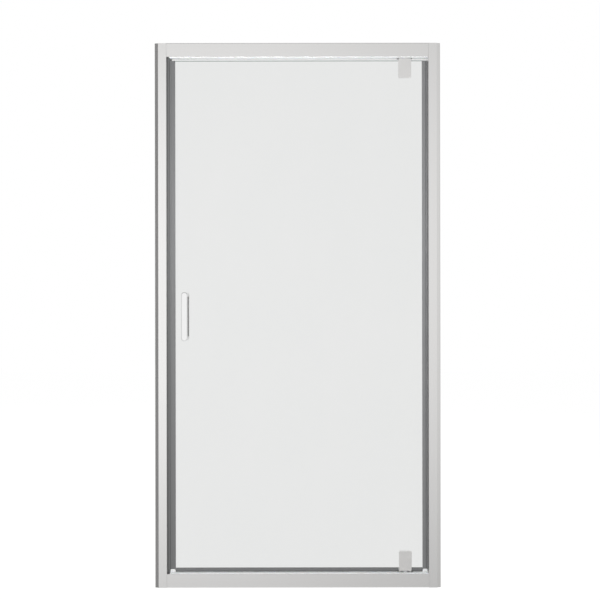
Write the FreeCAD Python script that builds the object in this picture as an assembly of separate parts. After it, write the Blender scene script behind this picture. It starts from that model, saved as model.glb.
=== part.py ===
import FreeCAD, Part
import os
from FreeCAD import Vector

# Framed pivot shower door, all sizes in millimetres.
# +X runs to the hinge side, +Y into the shower, +Z up.
# The origin is the middle of the threshold's underside. The leaf is closed.

# ---- Frame ---------------------------------------------------------------------------
overall_height = 1850.0
opening_width = 890.0          # between the inner faces of the two jambs
frame_depth = 44.0
rail_height = 46.5             # header and threshold are the same extrusion
jamb_face = 28.0               # width of a jamb's front face
jamb_wall = 1.5
jamb_corner_r = 1.2
rail_wall = 1.6
rail_corner_r = 1.5            # along the outer face
rail_inner_r = 0.5             # along the face towards the leaf

# ---- Wall profiles and their adjustment ----------------------------------------------
profile_show = 12.5            # what shows of a wall profile beside its jamb
profile_wall = 1.5
adjust_in = 5.5                # travel towards the jamb
adjust_out = 12.5              # travel away from it
slide_gap = 0.3                # between a jamb's leg and the wall profile's leg
leg_end_gap = 0.5              # leg end to jamb web with the profile pushed in
shoulder_start = 0.5           # the front shoulder starts this far past the jamb
shoulder_drop = 3.0            # and falls back this far on its way to the wall
shoulder_r = 2.0
rear_corner_r = 1.2
wall_hole_r = 2.5
wall_hole_count = 4
wall_hole_inset = 75.0         # first and last hole from the profile's ends
cap_plate = 2.0
cap_skirt = 10.0
cap_skirt_wall = 1.2
cap_gap = 0.5                  # cap to seal groove with the profile pushed in

# ---- Clamp screws between jamb and wall profile --------------------------------------
clamp_count = 3
clamp_inset = 200.0            # first and last clamp screw from the jamb's ends
clamp_edge = 4.0               # screw axis to the jamb's wall-side edge
clamp_shank_r = 1.9
clamp_head_r = 3.0
clamp_head_t = 2.2
clamp_hole_play = 0.3
clamp_nut_side = 7.0
clamp_nut_t = 3.2
clamp_nut_gap = 0.1
clamp_screw_past_nut = 1.5
cover_wall = 0.8
cover_play = 0.1

# ---- Screws that join rails and jambs ------------------------------------------------
port_y = 13.5                  # screw ports in front of and behind the rail's middle
port_wall = 1.6
port_mouth = 1.4
port_rib = 2.0
rail_screw_r = 1.8
rail_screw_length = 25.0
rail_screw_head_r = 3.6
rail_screw_head_t = 2.4
screw_hole_play = 0.2
thread_play = 0.05             # radial, screw or pin in its own hole

# ---- White strips on the rails, which the leaf's seals run over -----------------------
strip_t = 2.0
strip_inset = 2.0              # from the rail's front face
strip_width = 26.0
strip_edge_r = 0.8
strip_end_gap = 0.4            # strip to jamb seal, hinge jamb and bush flange

# ---- Seal fixed to the strike jamb ---------------------------------------------------
groove_mouth = 4.2
groove_width = 8.6
groove_depth = 3.3
groove_wall = 1.5
groove_play = 0.2
jamb_seal_base = 1.2
jamb_seal_stem = 2.2           # length of the narrow stem between base and head
jamb_seal_stem_width = 9.0
jamb_seal_width = 14.0
jamb_seal_skin = 1.0
magnet_t = 3.3
magnet_width = 9.6
stop_fin_reach = 6.3           # how far the stop fin passes the seal's head
stop_fin_root = 3.5            # how far it runs back along the head
stop_fin_t = 1.3
stop_gap = 0.5                 # stop fin to the closed leaf

# ---- Leaf ----------------------------------------------------------------------------
glass_t = 6.0
glass_corner_r = 3.0
top_gap = 8.5                  # glass to header
bottom_gap = 9.0               # glass to threshold
magnet_gap = 0.6               # between the two magnetic seals
hinge_edge_gap = 10.0          # glass to hinge jamb
pivot_inset = 79.0             # pivot axis to hinge jamb
edge_play = 0.2                # glass edge to the bottom of a seal's channel
seal_leg_t = 1.6
strike_head = 5.0
strike_head_width = 12.0
strike_head_skin = 1.0
door_magnet_t = 3.0
strike_grip = 12.5             # how far the strike seal's legs hold the glass
hinge_grip = 9.0
hinge_seal_floor = 1.5
hinge_seal_gap = 0.3           # bulb tip to hinge jamb
bulb_r = 4.0
bulb_wall = 1.2
bulb_neck_width = 5.0
bottom_grip = 6.0
bottom_seal_floor = 1.3
wiper_gap = 0.4                # wiper tip to the threshold's strip
wiper_t = 1.3
wiper_lean = 1.6               # the wiper's tip leans back by this
drip_fin_reach = 4.5
drip_fin_drop = 4.0
drip_fin_t = 1.2
seal_end_gap = 0.3
bush_clearance = 0.8           # seal and cap edges round the bush flange

# ---- End shoes of the two upright seals ----------------------------------------------
shoe_gap = 0.6                 # shoe to the threshold's strip
shoe_floor = 1.6
shoe_height = 10.0
shoe_wall = 1.8
shoe_corner_r = 5.0
shoe_overlap = 0.5             # how far a shoe passes the end of the seal's legs
hinge_shoe_back = 2.0          # shoe to the tip of the bulb

# ---- Pivots --------------------------------------------------------------------------
pin_r = 4.0
pin_running_gap = 0.05
pin_engagement = 15.0          # journal inside the bush, from the flange's face
pin_shank_r = 2.95
pin_shank_length = 12.0
pin_collar_r = 9.0
pin_collar_t = 3.5
washer_r = 10.0
washer_t = 1.5
washer_play = 0.2
bush_flange_r = 26.0
bush_flange_width = 24.0
bush_flange_t = 2.2
bush_sleeve_r = 6.95
bush_sleeve_length = 15.5      # below the flange
top_play = 0.5                 # top clamp to top bush flange
block_length = 52.0
block_width = 24.0
block_height = 15.0
block_screw_pitch = 36.0
block_screw_r = 1.95
block_screw_length = 12.0
block_screw_head_r = 3.8
block_screw_head_t = 2.0

# ---- Glass clamps --------------------------------------------------------------------
clamp_width = 43.0
clamp_length = 65.0
clamp_plate_t = 8.0
clamp_body_t = 6.0
clamp_body_inset = 2.0         # the casting is that much smaller than the outer plate
clamp_edge_r = 1.0
clamp_corner_r = 2.0
gasket_t = 1.0
gasket_inset = 3.0
neck_width = 26.0              # the casting's neck that fills the glass notch
neck_height = 16.0
neck_corner_r = 3.0
notch_play = 1.0
notch_corner_r = 4.0
end_wall_gap = 0.5             # glass edge to the clamp's end wall
foot_height = 13.0             # the shallow step at the pivot end of the plate
foot_step = 0.7
screw_rows = (33.0, 52.0)      # clamp screws from the pivot end
glass_hole_r = 5.0
clamp_screw_r = 2.45
clamp_screw_bite = 5.5         # thread inside the outer plate
clamp_screw_head_r = 4.6
clamp_screw_head_t = 2.6
sleeve_play = 0.1

# ---- Pull handle ---------------------------------------------------------------------
handle_from_edge = 47.5        # handle axis to the glass edge
handle_height = 921.0          # middle of the handle above the threshold's underside
handle_length = 165.0
handle_width = 21.0
handle_stand = 36.0            # glass face to the front of the bar
handle_bar_t = 9.0
handle_leg = 16.0
handle_front_r = 2.0
handle_back_r = 2.5            # along the bar's back, where the fingers go
handle_slot_r = 7.0
handle_screw_inset = 10.0      # screw axis to the grip's end
handle_washer_t = 1.0
handle_washer_r = 8.0
handle_hole_r = 6.0
handle_plate_t = 6.0           # the flat plate inside the shower
handle_plate_edge_r = 1.5
handle_screw_r = 2.95
handle_screw_bite = 14.0       # thread inside the grip
handle_screw_head_r = 5.6
handle_screw_head_t = 3.0

# ---- Derived places ------------------------------------------------------------------
overshoot = 1.0                # cutting shapes run past the faces they cut
half_depth = frame_depth / 2
jamb_in = opening_width / 2
jamb_out = jamb_in + jamb_face
wall_x = jamb_out + profile_show
profile_leg_y = half_depth - jamb_wall - slide_gap
profile_leg_x = jamb_in + jamb_wall + adjust_in + leg_end_gap
header_z = overall_height - rail_height
clamp_x = jamb_out - clamp_edge
clamp_pitch = (overall_height - 2 * clamp_inset) / (clamp_count - 1)
clamp_heights = [clamp_inset + i * clamp_pitch for i in range(clamp_count)]
wall_hole_pitch = (overall_height - 2 * wall_hole_inset) / (wall_hole_count - 1)
wall_hole_heights = [wall_hole_inset + i * wall_hole_pitch for i in range(wall_hole_count)]

half_glass = glass_t / 2
jamb_seal_head = magnet_t + 2 * jamb_seal_skin
jamb_seal_reach = jamb_seal_base + jamb_seal_stem + jamb_seal_head
strike_face_x = -jamb_in + jamb_seal_reach + magnet_gap
glass_strike_x = strike_face_x + strike_head + edge_play
glass_hinge_x = jamb_in - hinge_edge_gap
glass_bottom = rail_height + bottom_gap
glass_top = header_z - top_gap
pivot_x = jamb_in - pivot_inset
seal_half = half_glass + seal_leg_t
strike_leg_x = glass_strike_x + strike_grip
hinge_leg_x = glass_hinge_x - hinge_grip
strip_top = rail_height + strip_t
shoe_bottom = strip_top + shoe_gap
seal_foot = shoe_bottom + shoe_floor
flange_face = rail_height + bush_flange_t
bottom_clamp_end = flange_face + washer_t + pin_collar_t
top_clamp_end = flange_face + top_play
handle_x = glass_strike_x + handle_from_edge


# ---- Shape helpers -------------------------------------------------------------------
def box(x0, x1, y0, y1, z0, z1):
    return Part.makeBox(x1 - x0, y1 - y0, z1 - z0, Vector(x0, y0, z0))


def rod(radius, start, end):
    """A cylinder from one point to another."""
    axis = end - start
    return Part.makeCylinder(radius, axis.Length, start, axis)


def rod_x(radius, x0, x1, y, z):
    return rod(radius, Vector(x0, y, z), Vector(x1, y, z))


def rod_y(radius, x, y0, y1, z):
    return rod(radius, Vector(x, y0, z), Vector(x, y1, z))


def rod_z(radius, x, y, z0, z1):
    return rod(radius, Vector(x, y, z0), Vector(x, y, z1))


def cone_y(r0, r1, x, y0, y1, z):
    direction = Vector(0, 1 if y1 > y0 else -1, 0)
    return Part.makeCone(r0, r1, abs(y1 - y0), Vector(x, y0, z), direction)


def cone_z(r0, r1, x, y, z0, z1):
    direction = Vector(0, 0, 1 if z1 > z0 else -1)
    return Part.makeCone(r0, r1, abs(z1 - z0), Vector(x, y, z0), direction)


def prism(corners, travel):
    """A solid from flat corner points swept along a vector."""
    return Part.Face(Part.makePolygon(corners + corners[:1])).extrude(travel)


def upright(outline, z0, z1):
    return prism([Vector(x, y, z0) for x, y in outline], Vector(0, 0, z1 - z0))


def lengthwise(outline, x0, x1):
    return prism([Vector(x0, y, z) for y, z in outline], Vector(x1 - x0, 0, 0))


def fuse(first, *others):
    return first.fuse(list(others)).removeSplitter()


def cut(shape, *tools):
    return shape.cut(list(tools))


def mirror_x(shape):
    return shape.mirror(Vector(0, 0, 0), Vector(1, 0, 0))


def mirror_y(shape):
    return shape.mirror(Vector(0, 0, 0), Vector(0, 1, 0))


def mirror_z(shape):
    """Turns a piece at the threshold into its twin at the header."""
    return shape.mirror(Vector(0, 0, overall_height / 2), Vector(0, 0, 1))


def edges_along(shape, axis, **at):
    """Straight edges parallel to an axis, at the given coordinates."""
    direction = {"x": Vector(1, 0, 0), "y": Vector(0, 1, 0), "z": Vector(0, 0, 1)}[axis]
    found = []
    for edge in shape.Edges:
        if not isinstance(edge.Curve, Part.Line):
            continue
        if abs(abs(edge.Curve.Direction.dot(direction)) - 1) > 1e-6:
            continue
        middle = edge.CenterOfMass
        if all(min(abs(getattr(middle, key) - v) for v in values) < 1e-3
               for key, values in at.items()):
            found.append(edge)
    return found


def edges_in_plane(shape, axis, value):
    """All edges that lie wholly in the plane axis = value."""
    found = []
    for edge in shape.Edges:
        bounds = edge.BoundBox
        low = getattr(bounds, axis.upper() + "Min")
        high = getattr(bounds, axis.upper() + "Max")
        if abs(low - value) < 1e-3 and abs(high - value) < 1e-3:
            found.append(edge)
    return found


def save(name, *solids):
    whole = solids[0] if len(solids) == 1 else Part.makeCompound(list(solids))
    if not whole.isValid():
        raise ValueError(name + " is not a valid shape")
    for solid in whole.Solids:
        if solid.Volume <= 0:
            raise ValueError(name + " holds an empty or inverted solid")
    whole.exportStep("parts/" + name + ".step")
    print(name, len(whole.Solids), round(whole.Volume / 1000, 2), "cm3")


# ---- Fixed frame ---------------------------------------------------------------------
def rail_screw_places():
    for side in (-1, 1):
        yield side * port_y, rail_height / 2
        yield side * port_y, overall_height - rail_height / 2


def jamb(with_groove):
    """A C-section open to the wall, on the hinge side."""
    body = box(jamb_in, jamb_out, -half_depth, half_depth, 0, overall_height)
    corners = edges_along(body, "z", x=[jamb_in])
    body = body.makeFillet(jamb_corner_r, corners)
    inner = half_depth - jamb_wall
    body = cut(body, box(jamb_in + jamb_wall, jamb_out + overshoot, -inner, inner,
                         -overshoot, overall_height + overshoot))
    if with_groove:
        body = seal_groove(body)
    holes = [rod_x(rail_screw_r + screw_hole_play, jamb_in - overshoot,
                   jamb_in + jamb_wall + overshoot, y, z) for y, z in rail_screw_places()]
    holes += [rod_y(clamp_shank_r + clamp_hole_play, clamp_x, inner - overshoot,
                    half_depth + overshoot, z) for z in clamp_heights]
    return cut(body, *holes)


def seal_groove(body):
    """Adds the undercut groove that holds the seal's foot."""
    back = jamb_in + jamb_wall
    half = groove_width / 2
    rim = box(back, back + groove_depth + groove_wall, -half - groove_wall,
              half + groove_wall, 0, overall_height)
    hollow = box(back, back + groove_depth, -half, half, -overshoot,
                 overall_height + overshoot)
    mouth = box(jamb_in - overshoot, back + overshoot, -groove_mouth / 2, groove_mouth / 2,
                -overshoot, overall_height + overshoot)
    return cut(fuse(body, rim), hollow, mouth)


def screw_port(side):
    """An open tube along the rail that a self-tapping screw cuts into, on a rib."""
    y, z = side * port_y, rail_height / 2
    outer_r = rail_screw_r + thread_play + port_wall
    tube = rod_x(outer_r, -jamb_in, jamb_in, y, z)
    wall = half_depth - rail_wall
    rib_y = sorted((side * port_y, side * wall))
    rib = box(-jamb_in, jamb_in, rib_y[0], rib_y[1], z - port_rib / 2, z + port_rib / 2)
    bore = rod_x(rail_screw_r + thread_play, -jamb_in - overshoot, jamb_in + overshoot, y, z)
    mouth_y = sorted((y, y - side * (outer_r + overshoot)))
    mouth = box(-jamb_in - overshoot, jamb_in + overshoot, mouth_y[0], mouth_y[1],
                z - port_mouth / 2, z + port_mouth / 2)
    return cut(fuse(tube, rib), bore, mouth)


def rail():
    """The threshold rail; the header is its mirror image."""
    shell = box(-jamb_in, jamb_in, -half_depth, half_depth, 0, rail_height)
    sides = [-half_depth, half_depth]
    shell = shell.makeFillet(rail_corner_r, edges_along(shell, "x", y=sides, z=[0]))
    shell = shell.makeFillet(rail_inner_r, edges_along(shell, "x", y=sides, z=[rail_height]))
    hollow = box(-jamb_in - overshoot, jamb_in + overshoot, -half_depth + rail_wall,
                 half_depth - rail_wall, rail_wall, rail_height - rail_wall)
    shell = fuse(cut(shell, hollow), screw_port(-1), screw_port(1))
    top = rail_height + overshoot
    under = rail_height - rail_wall - overshoot
    holes = [rod_z(bush_sleeve_r + thread_play, pivot_x, 0, under, top)]
    holes += [rod_z(block_screw_r + screw_hole_play, x, 0, under, top)
              for x in block_screw_places()]
    return cut(shell, *holes)


def rail_strip():
    """White strip stuck on a rail, cut out round the bush flange."""
    x0 = -jamb_in + jamb_seal_reach + strip_end_gap
    x1 = jamb_in - strip_end_gap
    y0 = -half_depth + strip_inset
    y1 = y0 + strip_width
    strip = box(x0, x1, y0, y1, rail_height, strip_top)
    strip = strip.makeFillet(strip_edge_r, edges_along(strip, "x", y=[y0, y1], z=[strip_top]))
    under, over = rail_height - overshoot, strip_top + overshoot
    half = bush_flange_width / 2 + strip_end_gap
    disc = rod_z(bush_flange_r + strip_end_gap, pivot_x, 0, under, over)
    band = box(pivot_x - bush_flange_r - overshoot, pivot_x + bush_flange_r + overshoot,
               -half, half, under, over)
    return cut(strip, disc.common(band))


def rail_screw(side, y, z):
    """Pan-head screw through a jamb's web into a rail's port."""
    face = jamb_in + jamb_wall
    head = rod_x(rail_screw_head_r, face, face + rail_screw_head_t, y, z)
    rim = edges_in_plane(head, "x", face + rail_screw_head_t)
    head = head.makeChamfer(rail_screw_head_t / 3, rim)
    screw = fuse(head, rod_x(rail_screw_r, face - rail_screw_length, face, y, z))
    return screw if side > 0 else mirror_x(screw)


def block_screw_places():
    return (pivot_x - block_screw_pitch / 2, pivot_x + block_screw_pitch / 2)


def pivot_block():
    """The block inside the rail that the bush and its screws hold in."""
    top = rail_height - rail_wall
    body = box(pivot_x - block_length / 2, pivot_x + block_length / 2, -block_width / 2,
               block_width / 2, top - block_height, top)
    bottom = top - block_height - overshoot
    bores = [rod_z(bush_sleeve_r + thread_play, pivot_x, 0, bottom, top + overshoot)]
    bores += [rod_z(block_screw_r + thread_play, x, 0, bottom, top + overshoot)
              for x in block_screw_places()]
    return cut(body, *bores)


def pivot_bush():
    """A flanged bush; the flange is a disc cut flat in front and behind."""
    disc = rod_z(bush_flange_r, pivot_x, 0, rail_height, flange_face)
    band = box(pivot_x - bush_flange_r, pivot_x + bush_flange_r, -bush_flange_width / 2,
               bush_flange_width / 2, rail_height, flange_face)
    sleeve = rod_z(bush_sleeve_r, pivot_x, 0, rail_height - bush_sleeve_length, rail_height)
    body = fuse(disc.common(band), sleeve)
    bore = rod_z(pin_r + pin_running_gap, pivot_x, 0,
                 rail_height - bush_sleeve_length - overshoot, flange_face + overshoot)
    sinks = []
    for x in block_screw_places():
        sinks.append(rod_z(block_screw_r + screw_hole_play, x, 0, rail_height - overshoot,
                           flange_face + overshoot))
        sinks.append(cone_z(block_screw_head_r + thread_play, block_screw_r + thread_play,
                            x, 0, flange_face, flange_face - block_screw_head_t))
    return cut(body, bore, *sinks)


def block_screw(x):
    head = cone_z(block_screw_head_r, block_screw_r, x, 0, flange_face,
                  flange_face - block_screw_head_t)
    shank = rod_z(block_screw_r, x, 0, flange_face - block_screw_length,
                  flange_face - block_screw_head_t)
    return fuse(head, shank)


def clamp_screw(z):
    """Locks the jamb to the wall profile through its slot, from inside the shower."""
    head = rod_y(clamp_head_r, clamp_x, half_depth, half_depth + clamp_head_t, z)
    rim = edges_in_plane(head, "y", half_depth + clamp_head_t)
    head = head.makeChamfer(clamp_head_t / 3, rim)
    nut_back = profile_leg_y - profile_wall - clamp_nut_gap - clamp_nut_t
    shank = rod_y(clamp_shank_r, clamp_x, nut_back - clamp_screw_past_nut, half_depth, z)
    return fuse(head, shank)


def clamp_nut(z):
    front = profile_leg_y - profile_wall - clamp_nut_gap
    half = clamp_nut_side / 2
    nut = box(clamp_x - half, clamp_x + half, front - clamp_nut_t, front, z - half, z + half)
    return cut(nut, rod_y(clamp_shank_r + thread_play, clamp_x,
                          front - clamp_nut_t - overshoot, front + overshoot, z))


def screw_cover(z):
    """Snap-on cap over a clamp screw's head."""
    inner_r = clamp_head_r + cover_play
    outer_r = inner_r + cover_wall
    depth = clamp_head_t + cover_play
    cap = rod_y(outer_r, clamp_x, half_depth, half_depth + depth + cover_wall, z)
    rim = edges_in_plane(cap, "y", half_depth + depth + cover_wall)
    cap = cap.makeChamfer(cover_wall / 2, rim)
    return cut(cap, rod_y(inner_r, clamp_x, half_depth - overshoot, half_depth + depth, z))


# ---- Seal on the strike jamb ---------------------------------------------------------
def from_jamb(s):
    """X of a point that stands s in front of the strike jamb's inner face."""
    return -jamb_in + s


def jamb_seal():
    """Foot in the groove, stem, magnet head and the fin that the leaf closes against."""
    z0, z1 = rail_height, header_z
    foot_back = -(jamb_wall + groove_depth) + groove_play
    foot = box(from_jamb(foot_back), from_jamb(-jamb_wall - groove_play),
               -groove_width / 2 + groove_play, groove_width / 2 - groove_play, z0, z1)
    neck_half = groove_mouth / 2 - groove_play
    neck = box(from_jamb(-jamb_wall - groove_play), from_jamb(0), -neck_half, neck_half, z0, z1)
    half = jamb_seal_width / 2
    base = box(from_jamb(0), from_jamb(jamb_seal_base), -half, half, z0, z1)
    head_start = jamb_seal_base + jamb_seal_stem
    stem = box(from_jamb(jamb_seal_base), from_jamb(head_start), -jamb_seal_stem_width / 2,
               jamb_seal_stem_width / 2, z0, z1)
    head = box(from_jamb(head_start), from_jamb(jamb_seal_reach), -half, half, z0, z1)
    fin_y = strike_head_width / 2 + stop_gap
    fin = upright([(from_jamb(jamb_seal_reach - stop_fin_root), fin_y),
                   (from_jamb(jamb_seal_reach + stop_fin_reach), fin_y),
                   (from_jamb(jamb_seal_reach + stop_fin_reach), fin_y + stop_fin_t / 2),
                   (from_jamb(jamb_seal_reach), fin_y + stop_fin_t),
                   (from_jamb(jamb_seal_reach - stop_fin_root), fin_y + stop_fin_t)], z0, z1)
    whole = fuse(foot, neck, base, stem, head, fin)
    return cut(whole, jamb_magnet_space(overshoot))


def jamb_magnet_space(extra):
    start = jamb_seal_base + jamb_seal_stem + jamb_seal_skin
    return box(from_jamb(start), from_jamb(start + magnet_t), -magnet_width / 2,
               magnet_width / 2, rail_height - extra, header_z + extra)


# ---- Wall profiles -------------------------------------------------------------------
def wall_profile():
    """U-section against the wall: shouldered in front, straight behind."""
    y = profile_leg_y
    nose_y = y - shoulder_drop
    outer = upright([(profile_leg_x, -y), (jamb_out + shoulder_start, -y),
                     (wall_x, -nose_y), (wall_x, y), (profile_leg_x, y)], 0, overall_height)
    outer = outer.makeFillet(shoulder_r, edges_along(outer, "z", x=[wall_x], y=[-nose_y]))
    outer = outer.makeFillet(rear_corner_r, edges_along(outer, "z", x=[wall_x], y=[y]))
    profile = cut(outer, profile_hollow(profile_leg_x - overshoot, -overshoot,
                                        overall_height + overshoot))
    holes = [rod_x(wall_hole_r, wall_x - profile_wall - overshoot, wall_x + overshoot, 0, z)
             for z in wall_hole_heights]
    return cut(profile, *holes, *[clamp_slot(z) for z in clamp_heights])


def profile_hollow(x0, z0, z1):
    """The space inside a wall profile, from x0 to its web."""
    y = profile_leg_y - profile_wall
    web_x = wall_x - profile_wall
    return upright([(x0, -y), (jamb_out + shoulder_start, -y), (web_x, shoulder_drop - y),
                    (web_x, y), (x0, y)], z0, z1)


def clamp_slot(z):
    """The slot that a clamp screw runs in while the width is set."""
    radius = clamp_shank_r + clamp_hole_play
    near, far = clamp_x - adjust_out, clamp_x + adjust_in
    y0 = profile_leg_y - profile_wall - overshoot
    y1 = profile_leg_y + overshoot
    return fuse(box(near, far, y0, y1, z - radius, z + radius),
                rod_y(radius, near, y0, y1, z), rod_y(radius, far, y0, y1, z))


def wall_cap():
    """Plastic plug in the top end of a wall profile, hollow below its plate."""
    x0 = jamb_in + jamb_wall + groove_depth + groove_wall + adjust_in + cap_gap
    bottom = overall_height - cap_plate - cap_skirt
    plug = profile_hollow(x0, bottom, overall_height)
    y = profile_leg_y - profile_wall - cap_skirt_wall
    web_x = wall_x - profile_wall - cap_skirt_wall
    hollow = upright([(x0 - overshoot, -y), (jamb_out + shoulder_start, -y),
                      (web_x, shoulder_drop - y), (web_x, y), (x0 - overshoot, y)],
                     bottom - overshoot, overall_height - cap_plate)
    return cut(plug, hollow)


# ---- Leaf: glass and its seals -------------------------------------------------------
def glass_notch(clamp_end):
    """The cut in the glass edge that the clamp's neck fills, at the threshold end."""
    half = neck_width / 2 + notch_play
    notch = box(pivot_x - half, pivot_x + half, -glass_t, glass_t, rail_height,
                clamp_end + neck_height + notch_play)
    inner_corners = edges_along(notch, "y", z=[clamp_end + neck_height + notch_play])
    return notch.makeFillet(notch_corner_r, inner_corners)


def clamp_holes(clamp_end, radius, y0, y1):
    return [rod_y(radius, pivot_x, y0, y1, clamp_end + row) for row in screw_rows]


def handle_screw_heights():
    half_pitch = handle_length / 2 - handle_screw_inset
    return (handle_height - half_pitch, handle_height + half_pitch)


def door_glass():
    pane = box(glass_strike_x, glass_hinge_x, -half_glass, half_glass, glass_bottom, glass_top)
    pane = pane.makeFillet(glass_corner_r, edges_along(pane, "y", z=[glass_bottom, glass_top]))
    ends = [glass_notch(bottom_clamp_end), mirror_z(glass_notch(top_clamp_end))]
    holes = clamp_holes(bottom_clamp_end, glass_hole_r, -glass_t, glass_t)
    holes += [mirror_z(hole) for hole in clamp_holes(top_clamp_end, glass_hole_r,
                                                      -glass_t, glass_t)]
    holes += [rod_y(handle_hole_r, handle_x, -glass_t, glass_t, z)
              for z in handle_screw_heights()]
    return cut(pane, *ends, *holes)


def strike_edge_seal():
    """Channel on the closing edge of the glass with a head that holds the magnet."""
    half = strike_head_width / 2
    head = box(strike_face_x, strike_face_x + strike_head, -half, half, seal_foot, glass_top)
    head = head.makeFillet(strike_head_skin / 2, edges_along(head, "z", x=[strike_face_x]))
    channel = box(strike_face_x + strike_head, strike_leg_x, -seal_half, seal_half,
                  seal_foot, glass_top)
    slot = box(strike_face_x + strike_head, strike_leg_x + overshoot, -half_glass, half_glass,
               seal_foot - overshoot, glass_top + overshoot)
    return cut(fuse(head, cut(channel, slot)), door_magnet_space(overshoot))


def door_magnet_space(extra):
    x0 = strike_face_x + strike_head_skin
    return box(x0, x0 + door_magnet_t, -magnet_width / 2, magnet_width / 2,
               seal_foot - extra, glass_top + extra)


def hinge_edge_seal():
    """Channel on the pivot edge of the glass with a hollow bulb towards the jamb."""
    floor_x = glass_hinge_x + edge_play
    neck_x = floor_x + hinge_seal_floor
    tip_x = jamb_in - hinge_seal_gap
    centre_x = tip_x - bulb_r
    channel = box(hinge_leg_x, neck_x, -seal_half, seal_half, seal_foot, glass_top)
    slot = box(hinge_leg_x - overshoot, floor_x, -half_glass, half_glass,
               seal_foot - overshoot, glass_top + overshoot)
    neck = box(neck_x, centre_x, -bulb_neck_width / 2, bulb_neck_width / 2, seal_foot, glass_top)
    bulb = rod_z(bulb_r, centre_x, 0, seal_foot, glass_top)
    bore = rod_z(bulb_r - bulb_wall, centre_x, 0, seal_foot - overshoot, glass_top + overshoot)
    return cut(fuse(cut(channel, slot), neck, bulb), bore)


def bottom_seal(x0, x1):
    """Channel under the glass with a wiper in front and a drip fin behind."""
    floor_top = glass_bottom - edge_play
    floor = floor_top - bottom_seal_floor
    tip = strip_top + wiper_gap
    y = seal_half
    channel = lengthwise([(-y, glass_bottom + bottom_grip), (-y, floor), (y, floor),
                          (y, glass_bottom + bottom_grip)], x0, x1)
    slot = box(x0 - overshoot, x1 + overshoot, -half_glass, half_glass, floor_top,
               glass_bottom + bottom_grip + overshoot)
    wiper = lengthwise([(-y, floor), (-y + wiper_lean, tip), (-y + wiper_lean + wiper_t, tip),
                        (-y + wiper_t, floor)], x0, x1)
    drip = lengthwise([(y - drip_fin_t, floor), (y, floor), (y, floor + bottom_seal_floor),
                       (y + drip_fin_reach, floor + bottom_seal_floor - drip_fin_drop),
                       (y + drip_fin_reach - drip_fin_t,
                        floor + bottom_seal_floor - drip_fin_drop)], x0, x1)
    clearance = rod_z(bush_flange_r + bush_clearance, pivot_x, 0, rail_height - overshoot,
                      flange_face + bush_clearance)
    return cut(fuse(cut(channel, slot), wiper, drip), clearance)


def rounded_front(x0, x1, y0, y1, z0, z1):
    """A small plate whose two upper corners are rounded."""
    plate = box(x0, x1, y0, y1, z0, z1)
    return plate.makeFillet(shoe_corner_r, edges_along(plate, "y", z=[z1]))


def strike_end_cap():
    """White shoe under the strike seal, open towards the jamb's stop fin."""
    x0, x1 = strike_face_x, strike_leg_x + shoe_overlap
    head = strike_head_width / 2
    top = shoe_bottom + shoe_height
    front = rounded_front(x0, x1, -head - shoe_wall, -head, shoe_bottom, top)
    floor = box(x0, x1, -head, seal_half, shoe_bottom, seal_foot)
    fin_tip = from_jamb(jamb_seal_reach + stop_fin_reach) + stop_gap
    rear_y = seal_half + shoe_wall
    rear = rounded_front(fin_tip, x1, seal_half, rear_y, shoe_bottom, top)
    return fuse(front, floor, rear)


def hinge_end_cap():
    """White shoe under the hinge seal."""
    x0 = hinge_leg_x - shoe_overlap
    x1 = jamb_in - hinge_seal_gap - hinge_shoe_back
    top = shoe_bottom + shoe_height
    front = rounded_front(x0, x1, -seal_half - shoe_wall, -seal_half, shoe_bottom, top)
    rear = rounded_front(x0, x1, seal_half, seal_half + shoe_wall, shoe_bottom, top)
    floor = box(x0, x1, -seal_half, seal_half, shoe_bottom, seal_foot)
    return fuse(front, floor, rear)


# ---- Glass clamps with their pivots --------------------------------------------------
# Each is modelled at the threshold. clamp_end is the height of its pivot end and
# glass_edge that of the glass edge, both from the rail's outer face.
def clamp_body(clamp_end, glass_edge):
    """The casting behind the glass: plate, neck through the notch and end wall."""
    half = clamp_width / 2 - clamp_body_inset
    back = half_glass + gasket_t
    plate = box(pivot_x - half, pivot_x + half, back, back + clamp_body_t, clamp_end,
                clamp_end + clamp_length - clamp_body_inset)
    plate = plate.makeFillet(clamp_corner_r, edges_along(plate, "y"))
    plate = plate.makeFillet(clamp_edge_r, edges_in_plane(plate, "y", back + clamp_body_t))
    neck = box(pivot_x - neck_width / 2, pivot_x + neck_width / 2, -back, back, clamp_end,
               clamp_end + neck_height)
    neck_top = edges_along(neck, "y", z=[clamp_end + neck_height])
    neck = neck.makeFillet(neck_corner_r, neck_top)
    end_wall = box(pivot_x - half + clamp_corner_r, pivot_x + half - clamp_corner_r, -back,
                   back, clamp_end, glass_edge - end_wall_gap)
    body = fuse(plate, neck, end_wall)
    rear = back + clamp_body_t
    socket = rod_z(pin_shank_r + thread_play, pivot_x, 0, clamp_end - overshoot,
                   clamp_end + pin_shank_length + overshoot)
    holes = clamp_holes(clamp_end, clamp_screw_r + screw_hole_play, back - overshoot,
                        rear + overshoot)
    sinks = [cone_y(clamp_screw_head_r + thread_play, clamp_screw_r + thread_play, pivot_x,
                    rear, rear - clamp_screw_head_t, clamp_end + row) for row in screw_rows]
    return cut(body, socket, *holes, *sinks)


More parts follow.
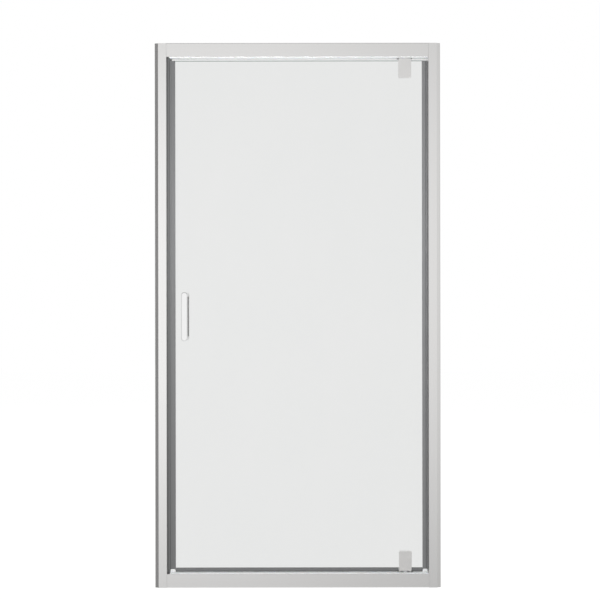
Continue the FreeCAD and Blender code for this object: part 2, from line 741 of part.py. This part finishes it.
def clamp_plate(clamp_end):
    """The outer plate: softened edges and a shallow foot at the pivot end."""
    half = clamp_width / 2
    back = -(half_glass + gasket_t)
    front = back - clamp_plate_t
    end = clamp_end + clamp_length
    plate = box(pivot_x - half, pivot_x + half, front, back, clamp_end, end)
    plate = plate.makeFillet(clamp_corner_r, edges_along(plate, "y"))
    plate = plate.makeFillet(clamp_edge_r, edges_in_plane(plate, "y", front))
    foot_top = clamp_end + foot_height
    keep = box(pivot_x - half + foot_step, pivot_x + half - foot_step, front + foot_step,
               back + overshoot, clamp_end - overshoot, foot_top)
    around = box(pivot_x - clamp_width, pivot_x + clamp_width, front - overshoot,
                 back + overshoot, clamp_end - overshoot, foot_top)
    plate = cut(plate, cut(around, keep))
    return cut(plate, *clamp_holes(clamp_end, clamp_screw_r + thread_play,
                                   back - clamp_screw_bite - overshoot, back + overshoot))


def clamp_gasket(clamp_end, glass_edge, side):
    half = clamp_width / 2 - gasket_inset
    y = sorted((side * half_glass, side * (half_glass + gasket_t)))
    pad = box(pivot_x - half, pivot_x + half, y[0], y[1], glass_edge,
              clamp_end + clamp_length - gasket_inset)
    return cut(pad, glass_notch(clamp_end),
               *clamp_holes(clamp_end, glass_hole_r, -2 * glass_t, 2 * glass_t))


def clamp_sleeve(clamp_end, row):
    """Plastic sleeve between a clamp screw and the glass."""
    z = clamp_end + row
    reach = half_glass + gasket_t
    tube = rod_y(glass_hole_r - sleeve_play, pivot_x, -reach, reach, z)
    return cut(tube, rod_y(clamp_screw_r + screw_hole_play, pivot_x, -reach - overshoot,
                           reach + overshoot, z))


def clamp_bolt(clamp_end, row):
    """Countersunk screw from inside the shower into the outer plate."""
    z = clamp_end + row
    rear = half_glass + gasket_t + clamp_body_t
    head = cone_y(clamp_screw_head_r, clamp_screw_r, pivot_x, rear,
                  rear - clamp_screw_head_t, z)
    shank = rod_y(clamp_screw_r, pivot_x, -(half_glass + gasket_t) - clamp_screw_bite,
                  rear - clamp_screw_head_t, z)
    return fuse(head, shank)


def pivot_pin(clamp_end, with_collar):
    """Stepped pin: threaded shank in the clamp, journal in the bush."""
    journal_end = flange_face - pin_engagement
    shank = rod_z(pin_shank_r, pivot_x, 0, clamp_end, clamp_end + pin_shank_length)
    journal = rod_z(pin_r, pivot_x, 0, journal_end, clamp_end)
    journal = journal.makeChamfer(pin_r / 4, edges_in_plane(journal, "z", journal_end))
    if not with_collar:
        return fuse(shank, journal)
    collar = rod_z(pin_collar_r, pivot_x, 0, clamp_end - pin_collar_t, clamp_end)
    return fuse(shank, journal, collar)


def thrust_washer():
    ring = rod_z(washer_r, pivot_x, 0, flange_face, flange_face + washer_t)
    return cut(ring, rod_z(pin_r + washer_play, pivot_x, 0, flange_face - overshoot,
                           flange_face + washer_t + overshoot))


# ---- Pull handle ---------------------------------------------------------------------
def pill(y0, y1):
    """A block with the handle's outline."""
    half = handle_width / 2
    straight = handle_length / 2 - half
    ends = [rod_y(half, handle_x, y0, y1, handle_height + s * straight) for s in (-1, 1)]
    block = box(handle_x - half, handle_x + half, y0, y1, handle_height - straight,
                handle_height + straight)
    return fuse(block, *ends)


def grip():
    """The grip outside: a pill-shaped bar on two full-width legs."""
    half = handle_width / 2
    base = -(half_glass + handle_washer_t)
    front = -(half_glass + handle_stand)
    body = pill(front, base)
    body = body.makeFillet(handle_front_r, edges_in_plane(body, "y", front))
    inner = handle_length / 2 - handle_leg
    bar_back = front + handle_bar_t
    gap = box(handle_x - half - overshoot, handle_x + half + overshoot, bar_back,
              base + overshoot, handle_height - inner, handle_height + inner)
    gap = gap.makeFillet(handle_slot_r, edges_along(gap, "x", y=[bar_back]))
    body = cut(body, gap)
    body = body.makeFillet(handle_back_r, edges_along(body, "z", y=[bar_back]))
    sockets = [rod_y(handle_screw_r + thread_play, handle_x,
                     base - handle_screw_bite - overshoot, base + overshoot, z)
               for z in handle_screw_heights()]
    return cut(body, *sockets)


def handle_plate():
    """The flat plate inside the shower, which the handle's screws pull against."""
    base = half_glass + handle_washer_t
    rear = base + handle_plate_t
    body = pill(base, rear)
    body = body.makeFillet(handle_plate_edge_r, edges_in_plane(body, "y", rear))
    heights = handle_screw_heights()
    holes = [rod_y(handle_screw_r + screw_hole_play, handle_x, base - overshoot,
                   rear + overshoot, z) for z in heights]
    sinks = [cone_y(handle_screw_head_r + thread_play, handle_screw_r + thread_play, handle_x,
                    rear, rear - handle_screw_head_t, z) for z in heights]
    return cut(body, *holes, *sinks)


def handle_screw(z):
    """Countersunk screw from inside the shower into the grip's leg."""
    base = half_glass + handle_washer_t
    rear = base + handle_plate_t
    head = cone_y(handle_screw_head_r, handle_screw_r, handle_x, rear,
                  rear - handle_screw_head_t, z)
    shank = rod_y(handle_screw_r, handle_x, -base - handle_screw_bite,
                  rear - handle_screw_head_t, z)
    return fuse(head, shank)


def handle_sleeve(z):
    tube = rod_y(handle_hole_r - sleeve_play, handle_x, -half_glass, half_glass, z)
    return cut(tube, rod_y(handle_screw_r + screw_hole_play, handle_x, -glass_t, glass_t, z))


def handle_washer(side, z):
    reach = half_glass + handle_washer_t
    disc = rod_y(handle_washer_r, handle_x, side * half_glass, side * reach, z)
    return cut(disc, rod_y(handle_screw_r + screw_hole_play, handle_x, -2 * reach, 2 * reach,
                           z))


# ---- Everything, piece by piece ------------------------------------------------------
def build_frame():
    save("hinge_jamb", jamb(with_groove=False))
    save("strike_jamb", mirror_x(jamb(with_groove=True)))
    save("threshold_rail", rail())
    save("header_rail", mirror_z(rail()))
    save("threshold_strip", rail_strip())
    save("header_strip", mirror_z(rail_strip()))
    save("rail_screws", *[rail_screw(side, y, z) for side in (-1, 1)
                          for y, z in rail_screw_places()])
    save("threshold_pivot_block", pivot_block())
    save("header_pivot_block", mirror_z(pivot_block()))
    save("bottom_pivot_bush", pivot_bush())
    save("top_pivot_bush", mirror_z(pivot_bush()))
    screws = [block_screw(x) for x in block_screw_places()]
    save("pivot_block_screws", *screws, *[mirror_z(screw) for screw in screws])
    save("strike_jamb_seal", jamb_seal())
    save("jamb_magnet", jamb_magnet_space(0))
    for name, piece in (("clamp_screws", clamp_screw), ("clamp_nuts", clamp_nut),
                        ("clamp_screw_caps", screw_cover)):
        right = [piece(z) for z in clamp_heights]
        save(name, *right, *[mirror_x(solid) for solid in right])


def build_wall_profiles():
    save("wall_profile_right", wall_profile())
    save("wall_profile_left", mirror_x(wall_profile()))
    save("wall_cap_right", wall_cap())
    save("wall_cap_left", mirror_x(wall_cap()))


def build_leaf():
    save("door_glass", door_glass())
    save("strike_edge_seal", strike_edge_seal())
    save("door_magnet", door_magnet_space(0))
    save("strike_end_cap", strike_end_cap())
    save("hinge_edge_seal", hinge_edge_seal())
    save("hinge_end_cap", hinge_end_cap())
    clamp_half = clamp_width / 2
    save("bottom_seal_long", bottom_seal(strike_leg_x + shoe_overlap + seal_end_gap,
                                         pivot_x - clamp_half - seal_end_gap))
    save("bottom_seal_short", bottom_seal(pivot_x + clamp_half + seal_end_gap,
                                          hinge_leg_x - shoe_overlap - seal_end_gap))


def build_clamps():
    sleeves = []
    for name, clamp_end, glass_edge, place in (
            ("bottom", bottom_clamp_end, glass_bottom, lambda shape: shape),
            ("top", top_clamp_end, overall_height - glass_top, mirror_z)):
        save(name + "_clamp_body", place(clamp_body(clamp_end, glass_edge)))
        save(name + "_clamp_plate", place(clamp_plate(clamp_end)))
        save(name + "_clamp_gaskets",
             *[place(clamp_gasket(clamp_end, glass_edge, side)) for side in (-1, 1)])
        save(name + "_clamp_bolts", *[place(clamp_bolt(clamp_end, row)) for row in screw_rows])
        save(name + "_pivot_pin", place(pivot_pin(clamp_end, name == "bottom")))
        sleeves += [place(clamp_sleeve(clamp_end, row)) for row in screw_rows]
    save("clamp_sleeves", *sleeves)
    save("bottom_thrust_washer", thrust_washer())


def build_handle():
    heights = handle_screw_heights()
    save("handle_grip", grip())
    save("handle_plate", handle_plate())
    save("handle_screws", *[handle_screw(z) for z in heights])
    save("handle_sleeves", *[handle_sleeve(z) for z in heights])
    save("handle_washers", *[handle_washer(side, z) for side in (-1, 1) for z in heights])


os.makedirs("parts", exist_ok=True)
build_frame()
build_wall_profiles()
build_leaf()
build_clamps()
build_handle()
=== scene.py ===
import math
import bpy
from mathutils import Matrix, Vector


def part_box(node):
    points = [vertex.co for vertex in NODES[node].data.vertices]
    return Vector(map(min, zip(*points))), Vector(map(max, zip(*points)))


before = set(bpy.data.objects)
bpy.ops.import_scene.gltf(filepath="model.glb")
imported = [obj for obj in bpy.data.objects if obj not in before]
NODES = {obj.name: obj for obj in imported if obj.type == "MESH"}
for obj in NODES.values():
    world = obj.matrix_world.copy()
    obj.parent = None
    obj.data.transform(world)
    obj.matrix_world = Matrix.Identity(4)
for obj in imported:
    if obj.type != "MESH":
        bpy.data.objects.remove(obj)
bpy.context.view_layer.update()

# The looks of a framed pivot shower door. Metres; +X to the hinge side, +Y into the
# shower, +Z up. The solids come from the frame; this file dresses and lights them.

# ---- The photograph's view ---------------------------------------------------------
CAMERA_X = 0.008
CAMERA_HEIGHT = 0.977
CAMERA_DISTANCE = 3.0                 # to the frame's front plane
VIEW_WIDTH = 2.0376                   # what the picture's width covers in that plane
CAMERA_ROLL = math.radians(0.08)
SENSOR = 36.0                         # camera sensor's width in millimetres

# ---- Light -------------------------------------------------------------------------
FLOOR_HALF = 9.0
FLOOR_GLOW = 1.12                     # makes the floor white to the camera
FLOOR_SHARE = 0.80                    # share of the glow in what the camera sees
FLOOR_BOUNCE = 0.30                   # share of the glow that lights undersides
DIFFUSE_LEVEL = 0.62                  # what matt surfaces get from the surroundings

# The room that metal reflects. Directions are components of a unit vector: across is
# +X and height is +Z. Each pair holds the value on the left and on the right.
ROOM_ACROSS = (-0.10, 0.20)
ROOM_LEVEL = (1.09, 0.81)
PEAK_ACROSS = (-0.16, 0.16)
PEAK_HEIGHT = (0.02, 0.06)            # height of the brightest part
HEIGHT_FALL = (3.25, 2.50)            # how fast it darkens above and below
LEAST_LEVEL = 0.45
FAR_RIGHT = (0.55, 0.85, 0.50)        # from, to and level of the darker right end
OVERHEAD = (0.38, 0.62, 0.20)         # from, to and level of the dark ceiling
UNDERFOOT = (-0.40, -0.70, 0.85)      # the same for the floor
PANEL = (-0.80, -0.44, 0.23)          # the dark panel to the left of the camera
PANEL_SOFTNESS = 0.06                 # half the width of its blurred edges
BEHIND_ACROSS = (0.30, 0.75)          # behind the door it darkens to both sides
BEHIND_LEVEL = (0.82, 0.50)


# ---- Node helpers ------------------------------------------------------------------
class Graph:
    """Short calls for building one node tree."""

    def __init__(self, tree):
        self.tree = tree
        self.nodes = tree.nodes
        self.links = tree.links

    def add(self, kind, settings=None, **inputs):
        node = self.nodes.new(kind)
        for name, value in (settings or {}).items():
            setattr(node, name, value)
        for name, value in inputs.items():
            self.put(node, name.replace("_", " "), value)
        return node

    def put(self, node, name, value):
        """Sets a socket to a constant or links it to another node's output."""
        socket = node.inputs[int(name)] if name.isdigit() else node.inputs[name]
        if isinstance(value, bpy.types.NodeSocket):
            self.links.new(value, socket)
        else:
            socket.default_value = value

    def math(self, operation, first, second=0.0, clamp=False):
        node = self.nodes.new("ShaderNodeMath")
        node.operation = operation
        node.use_clamp = clamp
        self.put(node, "0", first)
        self.put(node, "1", second)
        return node.outputs[0]

    def ramp(self, value, start, end, low, high, smooth=True):
        node = self.nodes.new("ShaderNodeMapRange")
        node.interpolation_type = "SMOOTHSTEP" if smooth else "LINEAR"
        for name, given in (("Value", value), ("From Min", start), ("From Max", end),
                            ("To Min", low), ("To Max", high)):
            self.put(node, name, given)
        return node.outputs["Result"]

    def blend(self, first, second, share):
        """first, or second where share is 1."""
        change = self.math("SUBTRACT", second, first)
        return self.math("ADD", first, self.math("MULTIPLY", change, share))

    def toward(self, level, value, start, end, target):
        """level, changing into target while value goes from start to end."""
        return self.blend(level, target, self.ramp(value, start, end, 0.0, 1.0))

    def mix(self, factor, first, second):
        node = self.nodes.new("ShaderNodeMix")
        node.data_type = "RGBA"
        self.put(node, "Factor", factor)
        for name, colour in (("A", first), ("B", second)):
            socket = [s for s in node.inputs if s.name == name and s.type == "RGBA"][0]
            if isinstance(colour, bpy.types.NodeSocket):
                self.links.new(colour, socket)
            else:
                socket.default_value = colour
        return [s for s in node.outputs if s.type == "RGBA"][0]

    def place(self, scale):
        """Object coordinates, in metres, times a scale along each axis."""
        where = self.nodes.new("ShaderNodeTexCoord")
        mapping = self.nodes.new("ShaderNodeMapping")
        mapping.inputs["Scale"].default_value = scale
        self.links.new(where.outputs["Object"], mapping.inputs["Vector"])
        return mapping.outputs["Vector"]

    def noise(self, scale, detail=2.0, roughness=0.5):
        node = self.nodes.new("ShaderNodeTexNoise")
        node.inputs["Scale"].default_value = 1.0
        node.inputs["Detail"].default_value = detail
        node.inputs["Roughness"].default_value = roughness
        self.links.new(self.place(scale), node.inputs["Vector"])
        return node.outputs["Fac"]

    def bump(self, height, depth, strength=1.0, below=None):
        node = self.nodes.new("ShaderNodeBump")
        node.inputs["Distance"].default_value = depth
        node.inputs["Strength"].default_value = strength
        self.links.new(height, node.inputs["Height"])
        if below is not None:
            self.links.new(below, node.inputs["Normal"])
        return node.outputs["Normal"]


def grey(level, warm=0.0):
    """A near-neutral linear colour; warm shifts it slightly from blue to red."""
    return (level * (1 + warm), level, level * (1 - warm), 1.0)


def principled(name, **constants):
    """A new material, its graph and its Principled shader with constants set."""
    material = bpy.data.materials.new(name)
    material.use_nodes = True
    graph = Graph(material.node_tree)
    shader = graph.nodes["Principled BSDF"]
    for key, value in constants.items():
        shader.inputs[key.replace("_", " ")].default_value = value
    return material, graph, shader


def wear(graph, shader, colours, roughness, patch, line, line_depth):
    """Tone, roughness and bump shared by most surfaces.

    patch is the scale of broad soft variation, line that of the fine texture.
    """
    broad = graph.noise(patch, detail=3.0)
    fine = graph.noise(line, detail=3.0, roughness=0.6)
    graph.put(shader, "Base Color", graph.mix(broad, colours[0], colours[1]))
    both = graph.math("ADD", graph.math("MULTIPLY", broad, 0.5),
                      graph.math("MULTIPLY", fine, 0.5))
    graph.put(shader, "Roughness",
              graph.ramp(both, 0.25, 0.75, roughness[0], roughness[1], smooth=False))
    graph.put(shader, "Normal", graph.bump(fine, line_depth))


# ---- Materials ---------------------------------------------------------------------
TOP_SHADE_WIDTH = 0.0010                        # width of the painted shade band along the glass's top, in the edge colour
TOP_SHADE_FADE = 0.0002
CUT_FACING = (0.8, 0.95)              # a surface turned less to the front than this is cut
EDGE_AND_TOP_SHADE_TRANSMISSION = 0.1                # what a cut surface, and the painted shade band along the top, still lets through
# Colour of the cut edges, also used for the painted shade along the glass's top
EDGE_AND_TOP_SHADE_COLOUR = (0.05, 0.11, 0.085, 1)
DIE_LINES = 1400.0                    # texture per metre across an extrusion
SEAL_LINES = 900.0
BRUSH_LINES = 1100.0
TURNING_LINES = 2600.0
MOULDED_PATCH = 35.0


def extruded_aluminium(name, along):
    """Bright anodised aluminium with die lines along the extrusion."""
    material, graph, shader = principled(name, Metallic=1.0)
    lines = {"x": (3.0, DIE_LINES, DIE_LINES), "z": (DIE_LINES, DIE_LINES, 3.0)}[along]
    patch = {"x": (2.0, 9.0, 9.0), "z": (9.0, 9.0, 2.0)}[along]
    wear(graph, shader, (grey(0.84, 0.006), grey(0.88, 0.012)), (0.17, 0.27), patch, lines,
         0.000012)
    return material


def clear_glass():
    """Toughened float glass: greener and darker through its polished edges, with painted shade
    along its top.
    """
    material, graph, shader = principled("clear_glass", Transmission_Weight=1.0, IOR=1.46,
                                         Specular_IOR_Level=0.5)
    surface = graph.nodes.new("ShaderNodeTexCoord")
    split = graph.add("ShaderNodeSeparateXYZ", Vector=surface.outputs["Normal"])
    facing = graph.math("ABSOLUTE", split.outputs["Y"])
    cut = graph.ramp(facing, *CUT_FACING, 1.0, 0.0)
    where = graph.add("ShaderNodeSeparateXYZ", Vector=surface.outputs["Object"])
    # A band just below the top is painted dark in the edge colour: painted shade where the
    # glass meets the header.
    top = max(vertex.co.z for vertex in NODES["door_glass"].data.vertices)
    ground = graph.ramp(where.outputs["Z"], top - TOP_SHADE_WIDTH - TOP_SHADE_FADE, top - TOP_SHADE_WIDTH, 0.0, 1.0)
    edge_and_top_shade = graph.math("MAXIMUM", cut, ground)
    haze = graph.noise((5.0, 5.0, 3.0), detail=4.0)
    tone = graph.mix(haze, (0.785, 0.795, 0.79, 1), (0.81, 0.812, 0.808, 1))
    graph.put(shader, "Base Color", graph.mix(edge_and_top_shade, tone, EDGE_AND_TOP_SHADE_COLOUR))
    graph.put(shader, "Transmission Weight",
              graph.ramp(edge_and_top_shade, 0.0, 1.0, 1.0, EDGE_AND_TOP_SHADE_TRANSMISSION, smooth=False))
    graph.put(shader, "Roughness", graph.ramp(haze, 0.35, 0.7, 0.0, 0.015, smooth=False))
    ripple = graph.noise((1.2, 1.2, 2.2), detail=1.0)
    graph.put(shader, "Normal", graph.bump(ripple, 0.0002))
    return material


def seal_plastic(name, along, tone):
    """Grey soft PVC, drawn lengthwise, with a dull sheen."""
    material, graph, shader = principled(name, IOR=1.9, Coat_Weight=0.9, Coat_IOR=1.8,
                                         Coat_Roughness=0.20)
    lines = {"x": (6.0, SEAL_LINES, SEAL_LINES), "z": (SEAL_LINES, SEAL_LINES, 6.0)}[along]
    patch = {"x": (6.0, 60.0, 60.0), "z": (60.0, 60.0, 6.0)}[along]
    wear(graph, shader, (grey(0.85 * tone, -0.03), grey(1.15 * tone, -0.02)), (0.28, 0.42),
         patch, lines, 0.00003)
    return material


def moulded(name, colours, roughness, grain=1500.0, depth=0.00002, **constants):
    """Moulded plastic or rubber with a fine even grain."""
    material, graph, shader = principled(name, **constants)
    wear(graph, shader, colours, roughness, (MOULDED_PATCH,) * 3, (grain,) * 3, depth)
    return material


def drawn_strip(name, colours, roughness):
    """White plastic drawn lengthwise along X, even from end to end."""
    material, graph, shader = principled(name, Subsurface_Weight=0.05)
    wear(graph, shader, colours, roughness, (1.0, MOULDED_PATCH, MOULDED_PATCH),
         (3.0, SEAL_LINES, SEAL_LINES), 0.00001)
    return material


def plated(name, colours, roughness, brushed):
    """Chrome plate over a polished or brushed casting."""
    material, graph, shader = principled(name, Metallic=1.0)
    line = (BRUSH_LINES, BRUSH_LINES, 25.0) if brushed else (260.0,) * 3
    wear(graph, shader, colours, roughness, (28.0,) * 3, line,
         0.000014 if brushed else 0.000003)
    return material


def turned_steel():
    """Stainless fasteners and pins with turning marks."""
    material, graph, shader = principled("stainless", Metallic=1.0)
    wear(graph, shader, (grey(0.52), grey(0.62)), (0.22, 0.38), (90.0,) * 3,
         (TURNING_LINES,) * 3, 0.00002)
    return material


ALUMINIUM_UPRIGHT = extruded_aluminium("aluminium_upright", "z")
ALUMINIUM_RAIL = extruded_aluminium("aluminium_rail", "x")
GLASS = clear_glass()
# The jamb seal's tone is darker than the strike seal's: its own grey plus painted shade of the
# recess beside the jamb.
JAMB_SEAL_WITH_SHADE = seal_plastic("jamb_seal", "z", 0.052)
STRIKE_SEAL = seal_plastic("strike_seal", "z", 0.07)
HINGE_SEAL = seal_plastic("hinge_seal", "z", 0.115)
WIPER_SEAL = seal_plastic("wiper_seal", "x", 0.08)
HANDLE_CHROME = plated("handle_chrome", (grey(0.78), grey(0.83)), (0.05, 0.10), False)
PLATE_CHROME = plated("plate_chrome", (grey(0.84), grey(0.89)), (0.45, 0.55), True)
CLAMP_CHROME = plated("clamp_chrome", (grey(0.82, 0.01), grey(0.89, 0.015)), (0.20, 0.30), True)
WHITE_PLASTIC = moulded("white_plastic", (grey(0.80), grey(0.86, 0.005)), (0.22, 0.34),
                        Subsurface_Weight=0.05)
STRIP_PLASTIC = drawn_strip("strip_plastic", (grey(0.78), grey(0.82, 0.005)), (0.34, 0.42))
CLEAR_PLASTIC = moulded("clear_plastic", (grey(0.70), grey(0.78)), (0.15, 0.28))
GREY_PLASTIC = moulded("grey_plastic", (grey(0.30), grey(0.36)), (0.38, 0.52))
GASKET_RUBBER = moulded("gasket_rubber", (grey(0.018), grey(0.03)), (0.55, 0.72))
MAGNET = moulded("magnet_strip", (grey(0.012), grey(0.02)), (0.5, 0.65))
CAST_ZINC = moulded("cast_zinc", (grey(0.36), grey(0.46)), (0.38, 0.55), grain=700.0,
                    depth=0.00005, Metallic=1.0)
STEEL = turned_steel()

DRESSED = {
    ALUMINIUM_UPRIGHT: ("strike_jamb", "hinge_jamb", "wall_profile_left",
                        "wall_profile_right"),
    ALUMINIUM_RAIL: ("header_rail", "threshold_rail"),
    GLASS: ("door_glass",),
    JAMB_SEAL_WITH_SHADE: ("strike_jamb_seal",),
    STRIKE_SEAL: ("strike_edge_seal",),
    HINGE_SEAL: ("hinge_edge_seal",),
    WIPER_SEAL: ("bottom_seal_long", "bottom_seal_short"),
    HANDLE_CHROME: ("handle_grip",),
    PLATE_CHROME: ("handle_plate",),
    CLAMP_CHROME: ("top_clamp_body", "top_clamp_plate", "bottom_clamp_body",
                   "bottom_clamp_plate"),
    WHITE_PLASTIC: ("strike_end_cap", "hinge_end_cap", "wall_cap_left", "wall_cap_right",
                    "clamp_screw_caps", "bottom_thrust_washer"),
    STRIP_PLASTIC: ("header_strip", "threshold_strip"),
    CLEAR_PLASTIC: ("clamp_sleeves", "handle_sleeves", "handle_washers"),
    GREY_PLASTIC: ("top_pivot_bush", "bottom_pivot_bush"),
    GASKET_RUBBER: ("top_clamp_gaskets", "bottom_clamp_gaskets"),
    MAGNET: ("jamb_magnet", "door_magnet"),
    CAST_ZINC: ("header_pivot_block", "threshold_pivot_block"),
    STEEL: ("rail_screws", "pivot_block_screws", "clamp_screws", "clamp_nuts",
            "top_clamp_bolts", "bottom_clamp_bolts", "top_pivot_pin", "bottom_pivot_pin",
            "handle_screws"),
}


def dress(material, names):
    """Puts one material on each named node, whatever slots it came with."""
    for name in names:
        slots = NODES[name].data.materials
        slots.clear()
        slots.append(material)


for dressing, names in DRESSED.items():
    dress(dressing, names)
NODES["door_glass"].visible_shadow = False


# ---- Room: floor, surroundings and lamps ---------------------------------------------
def floor():
    """A pale floor that looks white to the camera but keeps a soft shadow."""
    half = FLOOR_HALF
    corners = [(-half, -half, 0), (half, -half, 0), (half, half, 0), (-half, half, 0)]
    mesh = bpy.data.meshes.new("floor")
    mesh.from_pydata(corners, [], [(0, 1, 2, 3)])
    ground = bpy.data.objects.new("floor", mesh)
    bpy.context.scene.collection.objects.link(ground)
    material = bpy.data.materials.new("floor")
    material.use_nodes = True
    graph = Graph(material.node_tree)
    graph.nodes.clear()
    path = graph.nodes.new("ShaderNodeLightPath")
    through = path.outputs["Is Transmission Ray"]
    paint = graph.add("ShaderNodeBsdfDiffuse", Color=grey(0.80))
    strength = graph.math("SUBTRACT", FLOOR_GLOW, graph.math("MULTIPLY", through,
                                                             FLOOR_GLOW - 1.0))
    glow = graph.add("ShaderNodeEmission", Color=grey(1.0), Strength=strength)
    direct = graph.math("MULTIPLY", path.outputs["Is Camera Ray"], FLOOR_SHARE)
    bounced = graph.math("MULTIPLY", path.outputs["Is Diffuse Ray"], FLOOR_BOUNCE)
    share = graph.math("MAXIMUM", through, graph.math("ADD", direct, bounced))
    blend = graph.nodes.new("ShaderNodeMixShader")
    graph.links.new(share, blend.inputs[0])
    graph.links.new(paint.outputs[0], blend.inputs[1])
    graph.links.new(glow.outputs[0], blend.inputs[2])
    end = graph.nodes.new("ShaderNodeOutputMaterial")
    graph.links.new(blend.outputs[0], end.inputs["Surface"])
    mesh.materials.append(material)
    ground.visible_glossy = False


def reflected_room(graph):
    """Brightness of the room in front of the door, by direction.

    It is brightest to the upper left of the camera and falls off to the right, up and
    down. A dark panel stands to the left, and the ceiling is dark.
    """
    where = graph.nodes.new("ShaderNodeTexCoord")
    split = graph.add("ShaderNodeSeparateXYZ", Vector=where.outputs["Generated"])
    across, depth, height = (split.outputs[axis] for axis in "XYZ")
    sideways = graph.ramp(across, *ROOM_ACROSS, *ROOM_LEVEL)
    peak = graph.ramp(across, *PEAK_ACROSS, *PEAK_HEIGHT, smooth=False)
    offset = graph.math("SUBTRACT", height, peak)
    fall = graph.math("MULTIPLY", graph.math("MULTIPLY", offset, offset),
                      graph.ramp(across, *PEAK_ACROSS, *HEIGHT_FALL, smooth=False))
    upward = graph.math("MAXIMUM", graph.math("SUBTRACT", 1.0, fall), LEAST_LEVEL)
    level = graph.math("MULTIPLY", sideways, upward)
    level = graph.toward(level, across, *FAR_RIGHT)
    start, end, dark = PANEL
    inside = graph.math("MULTIPLY",
                        graph.ramp(across, start - PANEL_SOFTNESS, start + PANEL_SOFTNESS,
                                   0.0, 1.0),
                        graph.ramp(across, end - PANEL_SOFTNESS, end + PANEL_SOFTNESS,
                                   1.0, 0.0))
    level = graph.blend(level, dark, inside)
    behind = graph.ramp(graph.math("ABSOLUTE", across), *BEHIND_ACROSS, *BEHIND_LEVEL)
    level = graph.blend(level, behind, graph.ramp(depth, -0.1, 0.1, 0.0, 1.0))
    level = graph.toward(level, height, *UNDERFOOT)
    return graph.toward(level, height, *OVERHEAD)


def surroundings():
    """White to the camera and through glass, the room to metal, an even light to matt."""
    world = bpy.data.worlds.new("surroundings")
    bpy.context.scene.world = world
    world.use_nodes = True
    graph = Graph(world.node_tree)
    graph.nodes.clear()
    path = graph.nodes.new("ShaderNodeLightPath")
    straight = graph.math("MAXIMUM", path.outputs["Is Camera Ray"],
                          path.outputs["Is Transmission Ray"])
    reflected = path.outputs["Is Glossy Ray"]
    glossy = graph.math("MULTIPLY", reflected, reflected_room(graph))
    seen = graph.math("MAXIMUM", straight, glossy)
    either = graph.math("MAXIMUM", straight, reflected)
    matt = graph.math("MULTIPLY", graph.math("SUBTRACT", 1.0, either), DIFFUSE_LEVEL)
    level = graph.math("ADD", seen, matt)
    glow = graph.add("ShaderNodeBackground", Color=grey(1.0), Strength=level)
    end = graph.nodes.new("ShaderNodeOutputWorld")
    graph.links.new(glow.outputs[0], end.inputs["Surface"])


def lamp(name, place, aim, size, watts):
    """A soft box that lights matt surfaces and casts the shadow."""
    light = bpy.data.lights.new(name, "AREA")
    light.shape = "RECTANGLE"
    light.size, light.size_y = size
    light.energy = watts
    box = bpy.data.objects.new(name, light)
    box.location = place
    direction = [a - p for a, p in zip(aim, place)]
    box.rotation_euler = Vector(direction).to_track_quat("-Z", "Y").to_euler()
    box.visible_glossy = False
    box.visible_camera = False
    box.visible_transmission = False
    bpy.context.scene.collection.objects.link(box)


def camera():
    """The photograph's view: level, straight on, a hair turned."""
    data = bpy.data.cameras.new("camera")
    data.sensor_width = SENSOR
    data.lens = SENSOR * CAMERA_DISTANCE / VIEW_WIDTH
    eye = bpy.data.objects.new("camera", data)
    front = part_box("hinge_jamb")[0].y
    eye.location = (CAMERA_X, front - CAMERA_DISTANCE, CAMERA_HEIGHT)
    eye.rotation_euler = (math.radians(90), CAMERA_ROLL, 0)
    bpy.context.scene.collection.objects.link(eye)
    bpy.context.scene.camera = eye


floor()
surroundings()
CENTRE = (0.0, 0.0, 0.95)             # what the three large lamps are turned to
lamp("key", (-2.2, -3.2, 3.2), CENTRE, (2.4, 2.4), 62)
lamp("fill", (2.6, -2.8, 1.6), CENTRE, (2.2, 2.6), 26)
lamp("back", (0.6, 3.0, 3.0), CENTRE, (3.0, 1.6), 34)
lamp("near", (-0.1, -0.8, 1.25), (-0.1, 0.0, 1.25), (0.5, 0.4), 9)
camera()

view = bpy.context.scene.view_settings
view.view_transform = "Standard"
